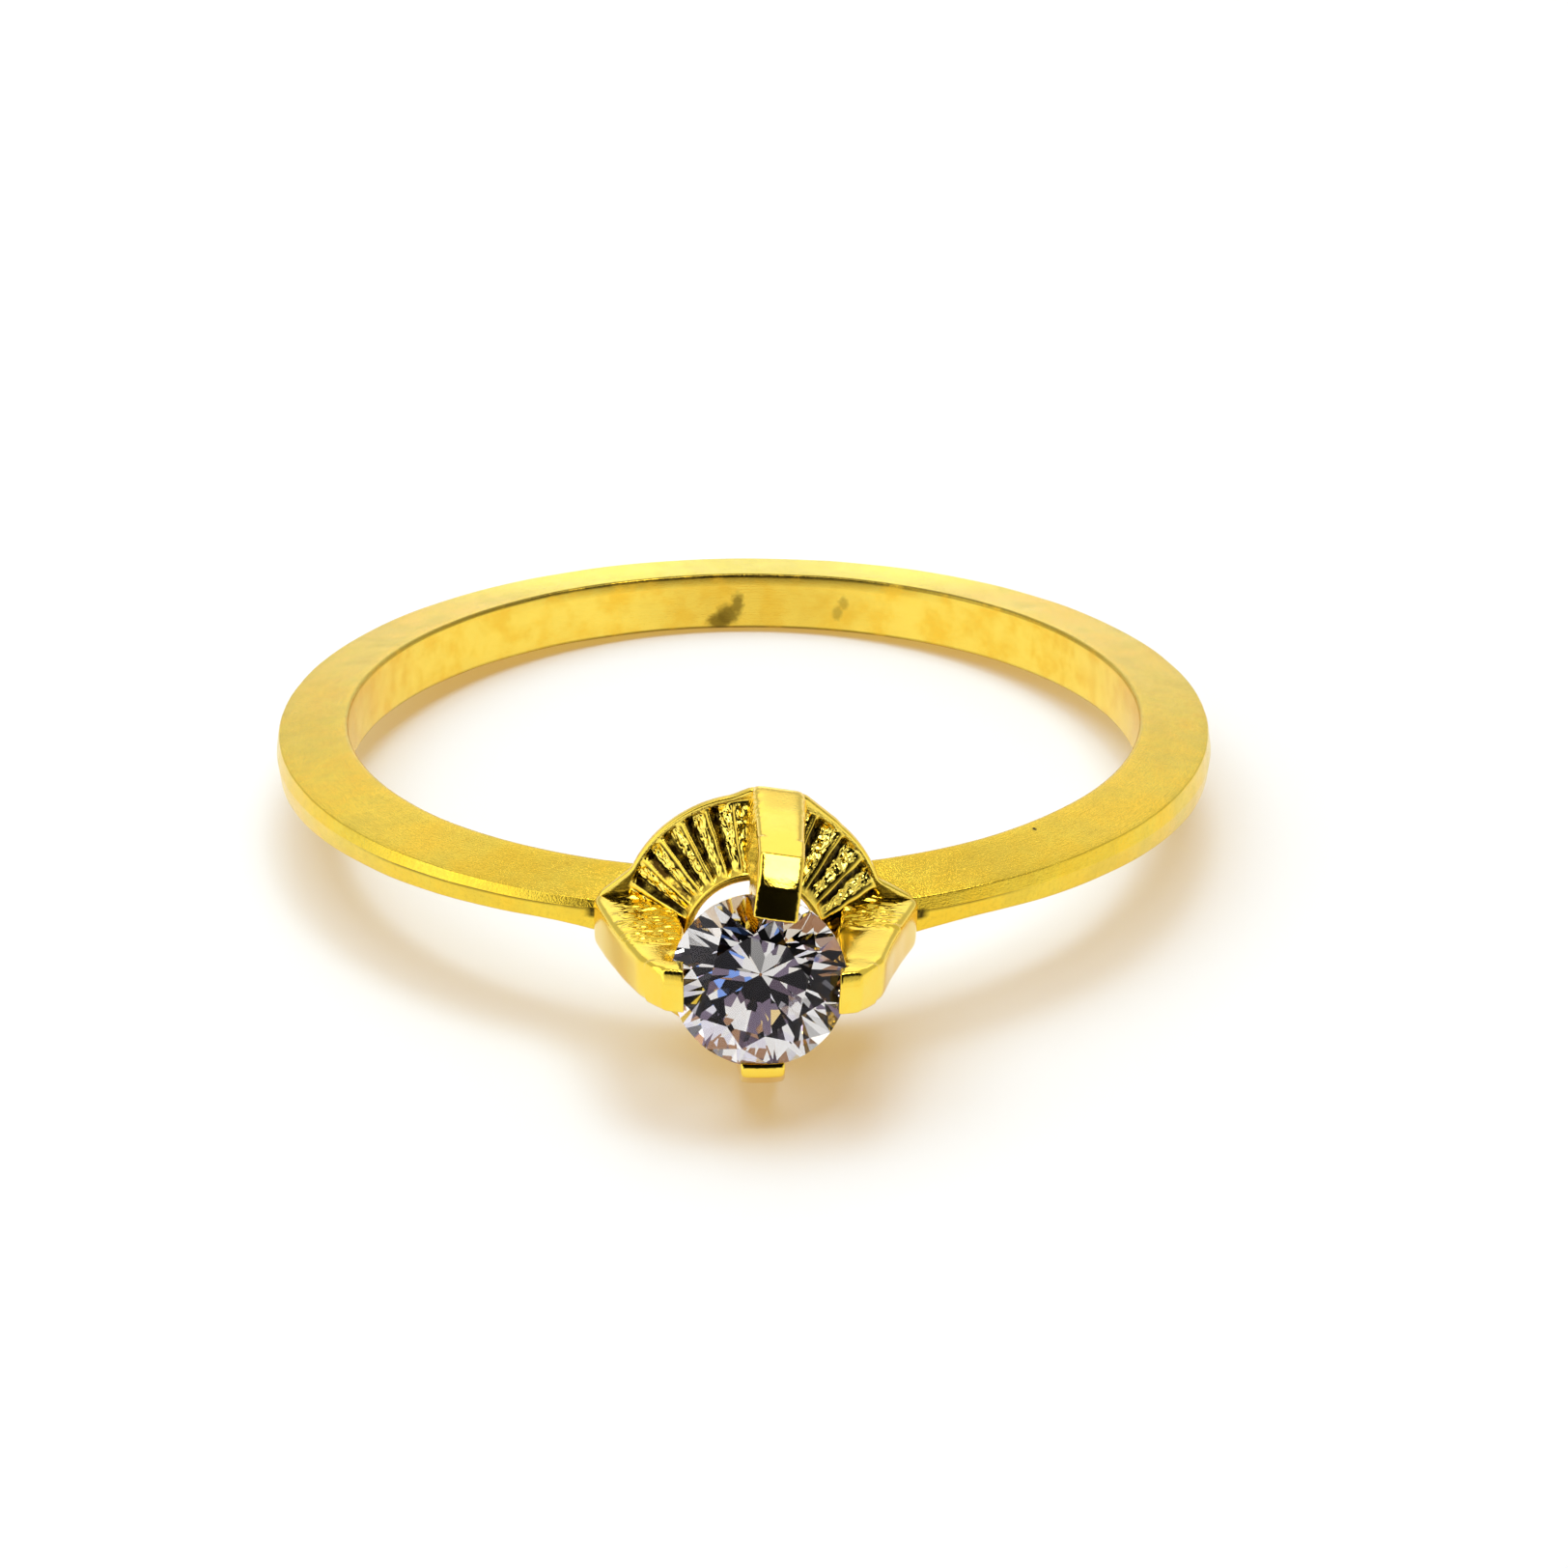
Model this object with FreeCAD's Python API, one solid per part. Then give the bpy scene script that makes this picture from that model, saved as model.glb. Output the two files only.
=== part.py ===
import FreeCAD, Part
import math
import os

from FreeCAD import Vector

# Engagement ring: a knife-edge shank carrying a fluted four-claw head with a round brilliant.
#
# Ring frame: origin at the centre of the finger hole, +Z along the finger hole, head towards -Y.
# Head frame: z runs out along the head's own axis (ring -Y), x is ring +Z and y is ring -X.
# Heights in the head are measured from the centre of the finger hole. Millimetres throughout.

# ---- shank ----
FINGER_RADIUS = 8.25
SHANK_WIDTH = 1.30            # at the finger side, the same all round
OUTER_RADIUS_ENDS = 9.53      # at the head and at the back
OUTER_RADIUS_SIDES = 9.75
FACE_ABOVE_HEAD = 0.23        # outer face beside the head, above and below its ridge
FACE_BELOW_HEAD = 0.36
FACE_HALF_BACK = 0.595        # half width of the outer face at the back
RIDGE_RISE_HEAD = 0.09        # how far the knife edge stands above the corners of that face
RIDGE_RISE_BACK = 0.02
RIDGE_SHIFT_LEFT = 0.14       # on the left shoulder the knife edge is filed this much higher
SHANK_OPENING = 10.0          # half angle, in degrees, left open at the head before fitting
SHANK_FLARE = 0.50            # the face widens below its ridge by this much at the opening
FLARE_SPAN = 18.0             # degrees over which that flare dies out
SHANK_SECTIONS = 24
CUT_ALLOWANCE = 0.05          # stock left inside the finger hole, then bored out

# ---- collet: the base tube of the head ----
COLLET_RADIUS = 2.05
COLLET_TOP = 8.60
LIGHT_HOLE_RADIUS = 1.20

# ---- fluted crown ----
CROWN_SHIFT = 0.09            # the crown sits slightly off the claws' centre, towards the left claw
RIM_RADIUS = 2.53
RIM_TOP = 9.24
RIM_BOTTOM = 9.05
RIM_CHAMFER = 0.05
BORDER_WIDTH = 0.12           # plain border outside the flutes
BORDER_RISE = 0.05
LIP_RADIUS = 1.46
LIP_TOP = 10.25
LIP_CHAMFER = 0.05
LOBE_INSET = 0.10             # the rim's swelling at a claw stops this far short of the claw's foot
LOBE_FALL = 0.12              # its top slopes down outwards by this much
FLUTE_PANELS = ((15, 90, 5), (96, 174, 6), (187, 265, 6), (275, 352, 6))  # first, last, flutes
FLUTE_FILL = 0.94             # share of each pitch that is cut, the rest is a narrow land
FLUTE_DEPTH_LIP = 0.12
FLUTE_DEPTH_RIM = 0.30
FLUTE_RUNOUT = 0.10           # length over which a flute comes up to the border
FLUTE_START = 0.02            # depth with which a flute's end sections begin

# ---- claws ----
# angle clockwise from the top, foot radius, tip's inner and outer radius, how far the tip's end
# falls outwards, bow of the outer edge between foot and shoulder, half width of the rim's swelling
CLAWS = {
    "claw_top": (9.3, 2.71, 1.47, 2.02, 0.21, 0.03, 1.25),
    "claw_right": (93.5, 3.09, 1.43, 1.85, 0.12, -0.045, 0.85),
    "claw_bottom": (180.0, 2.74, 1.50, 1.78, 0.07, 0.03, 1.10),
    "claw_left": (270.0, 3.14, 1.46, 1.86, 0.12, 0.06, 1.20),
}
CLAW_WIDTH_ROOT = 1.03
CLAW_WIDTH_TIP = 0.82
CLAW_SLOT_RADIUS = 1.50       # the slot in the crown stops here
CLAW_INNER_RADIUS = 1.42      # free inner face, below the stone
CLAW_TIP_HEIGHT = 12.66
CLAW_SHOULDER_HEIGHT = 11.90  # where the tip bevel starts
CLAW_SHOULDER_OUT = 0.46      # radius of the shoulder beyond the tip's outer edge
CLAW_FOOT_TOP = 9.30
CLAW_FOOT_CHAMFER = 0.18
CLAW_FOOT_UNDER = 0.08        # the foot's underside starts this far below the rim
CLAW_INNER_EASE = 0.30        # height over which the inner face leaves the crown's lip
CLAW_SEAT_EASE = 0.10         # height below the girdle where the inner face turns in
CLAW_EDGE_RADIUS = 0.09       # rounding along the outer edges

# ---- stone: round brilliant ----
STONE_RADIUS = 1.65
GIRDLE_HEIGHT = 12.15
GIRDLE_THICKNESS = 0.09
TABLE_RATIO = 0.58
CROWN_ANGLE = 34.5
PAVILION_ANGLE = 43.5
STAR_LENGTH = 0.50
LOWER_HALF_LENGTH = 0.77
CULET_RADIUS = 0.03
STONE_TURN = 9.0              # the cut is not lined up with the claws
STONE_TILT = 11.0             # the stone is set leaning back towards the top claw
STONE_LEAN = 5.0              # and slightly towards the left claw
STONE_SHIFT = (0.02, 0.05)    # a little off the claws' centre, up and to the left

HEAD_PLACEMENT = FreeCAD.Placement(
    Vector(0, 0, 0),
    FreeCAD.Rotation(Vector(0, 0, 1), Vector(-1, 0, 0), Vector(0, -1, 0), "ZXY"),
)
AXIS = Vector(0, 0, 1)
ORIGIN = Vector(0, 0, 0)


def polygon(points):
    """Closed wire through a list of vectors."""
    return Part.makePolygon(points + [points[0]])


def rotated(shape, degrees):
    """Copy of a head-frame shape turned about the head's axis."""
    copy = shape.copy()
    copy.rotate(ORIGIN, AXIS, degrees)
    return copy


def revolved(outline):
    """Solid of revolution about the head's axis from (radius, height) points or edges."""
    return Part.Face(outline).revolve(ORIGIN, AXIS, 360)


def profile(points):
    """Closed wire in the head's radial plane through (radius, height) pairs."""
    return polygon([Vector(radius, 0, height) for radius, height in points])


# ---------------------------------------------------------------- shank
def shank_section(degrees):
    """Five-sided section of the shank at an angle from the head, with its ridge outwards."""
    turn = math.radians(degrees)
    to_head = (1 + math.cos(turn)) / 2
    side_share = math.sin(turn) ** 2
    from_end = min(degrees, 360 - degrees) - SHANK_OPENING
    flare = SHANK_FLARE * max(0, 1 - from_end / FLARE_SPAN) ** 2
    ridge = OUTER_RADIUS_ENDS + (OUTER_RADIUS_SIDES - OUTER_RADIUS_ENDS) * side_share
    rise = RIDGE_RISE_BACK + (RIDGE_RISE_HEAD - RIDGE_RISE_BACK) * to_head
    corner = ridge - rise
    half_inner = SHANK_WIDTH / 2
    stock = FINGER_RADIUS - CUT_ALLOWANCE
    above = FACE_HALF_BACK + (FACE_ABOVE_HEAD - FACE_HALF_BACK) * to_head
    below = FACE_HALF_BACK + (FACE_BELOW_HEAD - FACE_HALF_BACK) * to_head + flare
    lift = RIDGE_SHIFT_LEFT * to_head if degrees > 180 else 0
    above += lift / 3
    below -= lift
    widen = CUT_ALLOWANCE / (corner - FINGER_RADIUS)
    outline = [
        (ridge, lift),
        (corner, above),
        (stock, half_inner + widen * (half_inner - above)),
        (stock, -half_inner - widen * (half_inner - below)),
        (corner, -below),
    ]
    return polygon([Vector(r * math.sin(turn), -r * math.cos(turn), z) for r, z in outline])


def shank_stock():
    """The open hoop before its ends are fitted to the head."""
    half_span = 180 - SHANK_OPENING
    turns = [math.pi * step / SHANK_SECTIONS for step in range(SHANK_SECTIONS + 1)]
    sections = [shank_section(180 - half_span * math.cos(turn)) for turn in turns]
    hoop = Part.makeLoft(sections, True, False)
    finger = Part.makeCylinder(FINGER_RADIUS, 4 * SHANK_WIDTH, Vector(0, 0, -2 * SHANK_WIDTH), AXIS)
    return hoop.cut(finger)


# ---------------------------------------------------------------- stone
def facet_cutter(azimuth, tilt, reach, height, upwards):
    """Block whose flat face lies on a facet that passes through (reach, height) at its azimuth."""
    size = 4 * STONE_RADIUS
    block = Part.makeBox(size, size, size, Vector(-size / 2, -size / 2, 0))
    block.rotate(ORIGIN, Vector(0, 1, 0), tilt if upwards else 180 - tilt)
    block.translate(Vector(reach, 0, height))
    return rotated(block, azimuth)


def half_facet_tilt(corner_reach, corner_height):
    """Tilt of a girdle facet that reaches a corner on the mirror plane between two main facets."""
    eighth = math.radians(11.25)
    run = (STONE_RADIUS - corner_reach) * math.cos(eighth)
    return math.degrees(math.atan2(corner_height, run))


def brilliant():
    """Round brilliant with its girdle plane at height 0 and its table upwards."""
    quarter = math.cos(math.radians(22.5))
    eighth = math.cos(math.radians(11.25))
    girdle = GIRDLE_THICKNESS / 2
    table_radius = TABLE_RATIO * STONE_RADIUS
    crown_rise = math.tan(math.radians(CROWN_ANGLE))
    crown_height = (STONE_RADIUS - table_radius) * crown_rise
    star_reach = table_radius * quarter + STAR_LENGTH * (STONE_RADIUS - table_radius * quarter)
    star_height = (STONE_RADIUS - star_reach * quarter) * crown_rise
    star_run = star_reach - table_radius * quarter
    star_tilt = math.degrees(math.atan2(crown_height - star_height, star_run))
    pavilion_fall = math.tan(math.radians(PAVILION_ANGLE))
    lower_reach = STONE_RADIUS * (1 - LOWER_HALF_LENGTH)
    lower_height = (STONE_RADIUS - lower_reach * quarter) * pavilion_fall
    culet_depth = (STONE_RADIUS - CULET_RADIUS) * pavilion_fall

    top = girdle + crown_height
    bottom = girdle + culet_depth
    stone = Part.makeCylinder(STONE_RADIUS, top + bottom, Vector(0, 0, -bottom), AXIS)
    cutters = []
    for main in range(8):
        azimuth = 45 * main
        cutters.append(facet_cutter(azimuth, CROWN_ANGLE, STONE_RADIUS, girdle, True))
        cutters.append(facet_cutter(azimuth + 22.5, star_tilt, star_reach, girdle + star_height, True))
        cutters.append(facet_cutter(azimuth, PAVILION_ANGLE, STONE_RADIUS, -girdle, False))
    upper_tilt = half_facet_tilt(star_reach, star_height)
    lower_tilt = half_facet_tilt(lower_reach, lower_height)
    for half in range(16):
        azimuth = 22.5 * half + 11.25
        cutters.append(facet_cutter(azimuth, upper_tilt, STONE_RADIUS * eighth, girdle, True))
        cutters.append(facet_cutter(azimuth, lower_tilt, STONE_RADIUS * eighth, -girdle, False))
    for cutter in cutters:
        stone = stone.cut(cutter)
    return stone


def set_stone():
    """The stone at its place in the head."""
    stone = rotated(brilliant(), STONE_TURN)
    stone.rotate(ORIGIN, Vector(0, 1, 0), STONE_TILT)
    stone.rotate(ORIGIN, Vector(1, 0, 0), -STONE_LEAN)
    stone.translate(Vector(STONE_SHIFT[0], STONE_SHIFT[1], GIRDLE_HEIGHT))
    return stone


# ---------------------------------------------------------------- claws
def claw_outline(foot_radius, tip_inner, tip_outer, tip_fall, bow):
    """Radial outline of a claw: foot, bowed outer edge, tip bevel, and the inner face under the stone."""
    shoulder_radius = tip_outer + CLAW_SHOULDER_OUT
    foot = Vector(foot_radius, 0, CLAW_FOOT_TOP)
    shoulder = Vector(shoulder_radius, 0, CLAW_SHOULDER_HEIGHT)
    middle = (foot + shoulder) / 2 + Vector(bow, 0, 0)
    underside = RIM_BOTTOM - CLAW_FOOT_UNDER
    lower = [
        (CLAW_SLOT_RADIUS, COLLET_TOP),
        (COLLET_RADIUS, COLLET_TOP),
        (foot_radius - CLAW_FOOT_CHAMFER, underside),
        (foot_radius, underside + CLAW_FOOT_CHAMFER),
        (foot_radius, CLAW_FOOT_TOP),
    ]
    upper = [
        (shoulder_radius, CLAW_SHOULDER_HEIGHT),
        (tip_outer, CLAW_TIP_HEIGHT - tip_fall),
        (tip_inner, CLAW_TIP_HEIGHT),
        (tip_inner, GIRDLE_HEIGHT + GIRDLE_THICKNESS),
        (CLAW_INNER_RADIUS, GIRDLE_HEIGHT - CLAW_SEAT_EASE),
        (CLAW_INNER_RADIUS, LIP_TOP + CLAW_INNER_EASE),
        (CLAW_SLOT_RADIUS, LIP_TOP),
        (CLAW_SLOT_RADIUS, COLLET_TOP),
    ]
    runs = [Part.makePolygon([Vector(r, 0, h) for r, h in points]) for points in (lower, upper)]
    back = Part.Arc(foot, middle, shoulder).toShape()
    return Part.Wire(runs[0].Edges + [back] + runs[1].Edges)


def claw(foot_radius, tip_inner, tip_outer, tip_fall, bow):
    """Deep claw bar narrowing to its tip, with rounded outer edges, before the stone's seat is cut."""
    half_root = CLAW_WIDTH_ROOT / 2
    half_tip = CLAW_WIDTH_TIP / 2
    outline = Part.Face(claw_outline(foot_radius, tip_inner, tip_outer, tip_fall, bow))
    plate = outline.extrude(Vector(0, CLAW_WIDTH_ROOT, 0))
    plate.translate(Vector(0, -half_root, 0))
    taper = polygon([
        Vector(0, -half_root, COLLET_TOP),
        Vector(0, half_root, COLLET_TOP),
        Vector(0, half_root, CLAW_FOOT_TOP),
        Vector(0, half_tip, CLAW_TIP_HEIGHT),
        Vector(0, -half_tip, CLAW_TIP_HEIGHT),
        Vector(0, -half_root, CLAW_FOOT_TOP),
    ])
    bar = plate.common(Part.Face(taper).extrude(Vector(2 * foot_radius, 0, 0)))
    outer = []
    for edge in bar.Edges:
        start, end = edge.Vertexes[0].Point, edge.Vertexes[-1].Point
        along_side = start.y * end.y > 0
        above_foot = min(start.z, end.z) > RIM_BOTTOM
        if along_side and above_foot and min(start.x, end.x) > CLAW_SLOT_RADIUS + CLAW_EDGE_RADIUS:
            outer.append(edge)
    return bar.makeFillet(CLAW_EDGE_RADIUS, outer)


# ---------------------------------------------------------------- crown
def bed_height(radius):
    """Height of the cone the flutes are cut into."""
    outer = RIM_RADIUS - BORDER_WIDTH
    outer_height = RIM_TOP + BORDER_RISE
    slope = (LIP_TOP - LIP_CHAMFER - outer_height) / (LIP_RADIUS - outer)
    return outer_height + slope * (radius - outer)


def lobe(foot_radius, half_width):
    """Swelling of the rim that meets the foot of a claw, in the radial direction +x."""
    half_foot = CLAW_WIDTH_ROOT / 2
    root = math.sqrt(RIM_RADIUS ** 2 - half_width ** 2) - RIM_CHAMFER
    end = foot_radius - LOBE_INSET
    corners = [(0, half_width), (root, half_width), (end, half_foot)]
    corners += [(x, -y) for x, y in reversed(corners)]
    plate = Part.Face(polygon([Vector(x, y, RIM_BOTTOM) for x, y in corners]))
    slope = Part.Face(polygon([
        Vector(0, -half_width, RIM_BOTTOM),
        Vector(end, -half_width, RIM_BOTTOM),
        Vector(end, -half_width, RIM_TOP - LOBE_FALL),
        Vector(root, -half_width, RIM_TOP),
        Vector(0, -half_width, RIM_TOP),
    ]))
    wedge = slope.extrude(Vector(0, 2 * half_width, 0))
    return plate.extrude(Vector(0, 0, RIM_TOP - RIM_BOTTOM)).common(wedge)


def crown_envelope():
    """The crown with its light hole and flutes still filled in."""
    envelope = revolved(profile([
        (0, COLLET_TOP),
        (COLLET_RADIUS - CROWN_SHIFT, COLLET_TOP),
        (RIM_RADIUS - RIM_CHAMFER, RIM_BOTTOM),
        (RIM_RADIUS, RIM_BOTTOM + RIM_CHAMFER),
        (RIM_RADIUS, RIM_TOP - RIM_CHAMFER),
        (RIM_RADIUS - RIM_CHAMFER, RIM_TOP),
        (RIM_RADIUS - BORDER_WIDTH, RIM_TOP + BORDER_RISE),
        (LIP_RADIUS, LIP_TOP - LIP_CHAMFER),
        (LIP_RADIUS - LIP_CHAMFER, LIP_TOP),
        (LIGHT_HOLE_RADIUS + LIP_CHAMFER, LIP_TOP),
        (LIGHT_HOLE_RADIUS, LIP_TOP - LIP_CHAMFER),
        (0, LIP_TOP - LIP_CHAMFER),
    ]))
    envelope.translate(Vector(0, CROWN_SHIFT, 0))
    for angle, foot_radius, _, _, _, _, half_width in CLAWS.values():
        envelope = envelope.fuse(rotated(lobe(foot_radius, half_width), -angle))
    return envelope


def flute_section(radius, depth, half_angle):
    """V section across a flute at one radius, open upwards past the crown's surface."""
    half_width = radius * math.tan(half_angle)
    edge = bed_height(radius / math.cos(half_angle))
    clear = LIP_TOP + LIP_RADIUS
    return polygon([
        Vector(radius, 0, bed_height(radius) - depth),
        Vector(radius, half_width, edge),
        Vector(radius, half_width, clear),
        Vector(radius, -half_width, clear),
        Vector(radius, -half_width, edge),
    ])


def flute_cutter(half_angle):
    """Graver cut: shallow at the lip, deepest near the rim, running out at the plain border."""
    outer = RIM_RADIUS - BORDER_WIDTH
    return Part.makeLoft([
        flute_section(LIP_RADIUS - LIP_CHAMFER, FLUTE_START, half_angle),
        flute_section(LIP_RADIUS + LIP_CHAMFER, FLUTE_DEPTH_LIP, half_angle),
        flute_section(outer - FLUTE_RUNOUT, FLUTE_DEPTH_RIM, half_angle),
        flute_section(outer, FLUTE_START, half_angle),
    ], True, True)


def light_hole():
    """Open hole under the stone, through the collet and the crown."""
    return Part.makeCylinder(LIGHT_HOLE_RADIUS, LIP_TOP, Vector(0, CROWN_SHIFT, 0), AXIS)


def fluted_crown():
    """Rosette with its light hole and a panel of flutes between each pair of claws."""
    crown = crown_envelope().cut(light_hole())
    for first, last, flutes in FLUTE_PANELS:
        pitch = (last - first) / flutes
        cutter = flute_cutter(math.radians(pitch * FLUTE_FILL / 2))
        for flute in range(flutes):
            cut = rotated(cutter, -(first + (flute + 0.5) * pitch))
            cut.translate(Vector(0, CROWN_SHIFT, 0))
            crown = crown.cut(cut)
    return crown


# ---------------------------------------------------------------- assembly
def in_ring(shape):
    """Copy of a head-frame shape in the ring frame."""
    copy = shape.copy()
    copy.Placement = HEAD_PLACEMENT.multiply(copy.Placement)
    return copy


def collet_blank():
    """Solid round stock of the collet, reaching into the finger hole."""
    inside = FINGER_RADIUS / 2
    return Part.makeCylinder(COLLET_RADIUS, COLLET_TOP - inside, Vector(0, 0, inside), AXIS)


def build():
    """All the pieces in the ring frame, by name."""
    stone = set_stone()
    head = {"stone": stone}
    crown = fluted_crown()
    for name, (angle, foot_radius, tip_inner, tip_outer, tip_fall, bow, _) in CLAWS.items():
        bar = rotated(claw(foot_radius, tip_inner, tip_outer, tip_fall, bow), -angle)
        head[name] = bar.cut(stone)
        crown = crown.cut(head[name])
    head["fluted_crown"] = crown

    finger_start = Vector(-2 * RIM_RADIUS, 0, 0)
    finger = Part.makeCylinder(FINGER_RADIUS, 4 * RIM_RADIUS, finger_start, Vector(1, 0, 0))
    head["head_collet"] = collet_blank().cut(finger).cut(light_hole())

    pieces = {name: in_ring(shape) for name, shape in head.items()}
    shank = shank_stock()
    for name in CLAWS:
        shank = shank.cut(pieces[name])
    for blank in (collet_blank(), crown_envelope()):
        shank = shank.cut(in_ring(blank))
    pieces["shank"] = shank
    return pieces


os.makedirs("parts", exist_ok=True)
for node, shape in build().items():
    solids = shape.Solids
    print(node, "solids", len(solids), "valid", shape.isValid(), "volume", round(shape.Volume, 3))
    solids[0].exportStep("parts/" + node + ".step")
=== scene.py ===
import math

import bmesh
import bpy
from mathutils import Matrix, Vector, noise


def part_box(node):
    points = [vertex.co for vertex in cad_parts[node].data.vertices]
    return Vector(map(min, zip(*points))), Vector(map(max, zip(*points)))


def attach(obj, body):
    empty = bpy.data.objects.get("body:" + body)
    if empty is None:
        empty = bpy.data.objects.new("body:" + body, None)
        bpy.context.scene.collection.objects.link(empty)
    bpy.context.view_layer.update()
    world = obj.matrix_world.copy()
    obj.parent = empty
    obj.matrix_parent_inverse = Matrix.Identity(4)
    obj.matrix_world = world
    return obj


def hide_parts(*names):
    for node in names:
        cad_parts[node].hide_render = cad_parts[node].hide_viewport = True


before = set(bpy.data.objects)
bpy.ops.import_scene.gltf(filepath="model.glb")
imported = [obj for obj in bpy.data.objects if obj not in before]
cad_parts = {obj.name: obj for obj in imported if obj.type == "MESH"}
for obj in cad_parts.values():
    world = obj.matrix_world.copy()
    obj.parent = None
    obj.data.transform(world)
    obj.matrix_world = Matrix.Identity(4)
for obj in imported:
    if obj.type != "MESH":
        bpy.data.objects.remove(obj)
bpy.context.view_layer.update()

# Engagement ring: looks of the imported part. The ring frame is the CAD's: origin at the centre of
# the finger hole, +Z along the hole, head towards -Y. Sizes here are in millimetres, like the CAD's,
# and become metres as each mesh is made. Angles are in degrees: round the shank they start at the
# head, and round the crown they start at +Z and run towards +X.
MM = 0.001

# ---- shank ----
FINGER_RADIUS = 8.25
SHANK_WIDTH = 1.30
OUTER_RADIUS_ENDS = 9.53      # at the head and at the back
OUTER_RADIUS_SIDES = 9.75
FACE_ABOVE_HEAD = 0.23        # outer face near the head, above and below the middle plane
FACE_BELOW_HEAD = 0.36
FACE_HALF_BACK = 0.595        # half width of the outer face at the back
RIDGE_RISE_HEAD = 0.09        # how far the knife edge stands above the corners of the outer face
RIDGE_RISE_BACK = 0.02
RIDGE_SHIFT_LEFT = 0.14       # on the left shoulder the knife edge lies this much higher
SHANK_OPENING = 10.0          # half of the angle left open at the head
SHANK_FLARE = 0.50            # the outer face reaches this much lower at the opening
FLARE_SPAN = 18.0             # angle over which that flare dies out
SHANK_STEP = 0.5              # angle between sections
RIDGE_ROUND = 0.02            # rounding of the knife edge, the face's corners and the finger side
FACE_ROUND = 0.05
FINGER_ROUND = 0.09
SHORTER_SHARE = 0.45          # no rounding takes more than this share of a side
ARC_STEPS = 5                 # spans round a corner, and points along a side between two corners
EDGE_POINTS = 5
CORNER_POINTS = ARC_STEPS + 1 + EDGE_POINTS
SECTION_POINTS = 5 * CORNER_POINTS
HAND_WAVE = 0.010             # how uneven the filed faces are
HAND_WAVES = 0.9              # scale of their long and short waves outwards
HAND_RIPPLES = 3.0
HAND_WAVES_ACROSS = 0.7       # and of those along the finger hole
HAND_OFFSET = (31, 7, 5)      # keeps the two kinds apart
FILED_FROM = 0.5              # nearer to the finger hole than this the waves are a third as high

# ---- painted dark lines on the shank, painted shade and dark reflections: strengths, and angles from the head between which they fade ----
DARK_REFLECTION_LEFT = (44, 58)        # painted dark reflection under the knife edge, on either shoulder
DARK_REFLECTION_RIGHT = (26, 36)
DARK_REFLECTION_STRENGTH = 0.75
HEAD_JOIN_SHADE = (19.6, 20.4)          # painted shade where the knife edge meets the head, up to here
EDGE_SPAN = (85, 170)         # the painted dark reflection on the upper finger edge grows between these
EDGE_DARK = 0.25
EDGE_DARKER = 0.55
BACK_SPAN = (140, 165)        # and the painted dark lines on both finger edges get stronger between these
EDGE_BACK_DARK = 0.6
LOWER_DARK = 0.30
LOWER_DARKER = 0.35

# ---- crown ----
COLLET_RADIUS = 2.05
COLLET_TOP = 8.60
CROWN_SINK = 0.02             # the crown begins this far inside the collet
LIGHT_HOLE_RADIUS = 1.20
HOLE_HEIGHTS = (9.0, 9.5)     # points up the hole's wall
CROWN_SHIFT = 0.09            # the crown sits this far towards -X
RIM_RADIUS = 2.53
RIM_TOP = 9.24
RIM_BOTTOM = 9.05
RIM_ROUND = 0.04
BORDER_WIDTH = 0.10           # plain border outside the flutes
BED_RADIUS = RIM_RADIUS - BORDER_WIDTH
LIP_RADIUS = 1.35
LIP_TOP = 10.25
LIP_ROUND = 0.05
LOBE_INSET = 0.10             # the rim's swelling at a claw ends this far inside the claw's foot
LOBE_SLOPE = 0.06             # and falls outwards
LOBE_FACING = 0.3             # a lobe counts where the cosine of the angle from its claw is larger
LOBE_SOFTENING = 8            # columns to either side over which the rim's outline is averaged
CLAW_FEET = {                 # angle, radius of the foot, half width of the lobe
    "claw_top": (9.3, 2.71, 1.25),
    "claw_right": (93.5, 3.09, 0.85),
    "claw_bottom": (180.0, 2.74, 1.10),
    "claw_left": (270.0, 3.14, 1.20),
}
CLAW_WIDTH_ROOT = 1.03
CROWN_STEP = 0.25             # angle between columns
BED_ROWS = 40                 # spans along a flute
SHORT_ROWS = 4                # spans across the border, and down the underside
ROUND_STEPS = 3               # spans round a quarter turn

# ---- flutes; a place across a flute runs from -1 to 1 ----
FLUTE_PANELS = ((15, 90, 5), (96, 174, 6), (187, 265, 6), (275, 352, 6))  # first, last, flutes
FLUTE_FILL = 0.93             # the cut reaches this far to either side
FLUTE_LOW = -0.45             # deepest place, between the steep smooth wall and the torn shelf
FLUTE_SHELF = 0.50            # where the shelf ends and the far wall begins
SHELF_END = 0.3               # share of the full depth left there
FLUTE_DEPTH_LIP = 0.10
FLUTE_DEPTH_RIM = 0.19
FLUTE_RUNOUT = 0.06           # length over which a flute comes up to the border
WANDER = 0.10                 # how far flutes stray sideways
WANDER_ANGLE = 12             # they stray together within this angle
WANDER_SCALE = (3.7, 4.0, 0.5)  # by that angle's number, by radius, and a fixed value
STREAK_SCALE = (0.55, 1.2, 3.1)  # tool streaks: by angle, by radius, and a fixed value
STREAK = 0.010                # their height in a flute, and on the plain metal between the panels
STREAK_PLAIN = 0.03
TEAR = 0.080                  # height of the torn metal, in coarse and fine crumbs
TEAR_COARSE = 7
TEAR_FINE = 18
TEAR_FINE_SHARE = 0.7
TEAR_PLAIN = 0.6              # share of that height on the plain metal, and of the torn tone
TORN_PLAIN = 0.4
TORN_BORDER = 0.6             # share of the torn tone on the border
TORN_NEAR = (-0.18, -0.12)    # near side of the torn strip at the lip, and its change by the border
TORN_FAR = (0.48, 0.18)       # far side
TORN_FADE = 0.08              # both fade over this much
TORN_START = (0.1, 0.7)       # distances from the lip at which the strip is half torn and fully torn
ROUGH_STOP = (0.08, 0.02)     # distances from the border over which roughness and painted shade die out
RAGGED = ((0.16, 9), (0.12, 21))  # ragged sides of the strip: reach and scale
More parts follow.
